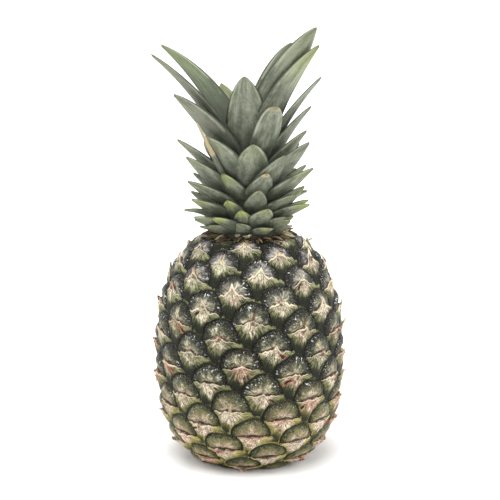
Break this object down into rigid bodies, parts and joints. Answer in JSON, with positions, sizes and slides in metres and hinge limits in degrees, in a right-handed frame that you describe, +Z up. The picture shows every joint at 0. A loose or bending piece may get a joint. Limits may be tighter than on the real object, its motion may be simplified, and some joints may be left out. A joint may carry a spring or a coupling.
{
  "type": "pineapple",
  "caption": "Whole ripe pineapple with eyes, dry bracts, cut stalk and leafy crown, standing upright on its base",
  "frame": {"origin": "centre of the fruit's base ring, on the surface the fruit stands on", "axes": "+Z up along the fruit's axis to the crown, -Y towards the viewer of the picture, +X to the viewer's right"},
  "size_m": [0.1283, 0.1277, 0.279],
  "materials": {
    "skin": "waxy dark green eyes with dry tan bracts",
    "stalk": "dry fibrous cut end",
    "leaf": "matte grey-green leaf with a silvery bloom"
  },
  "bodies": {
    "root": {"fruit": "skin", "stalk": "stalk", "crown": "leaf"}
  },
  "joints": []
}
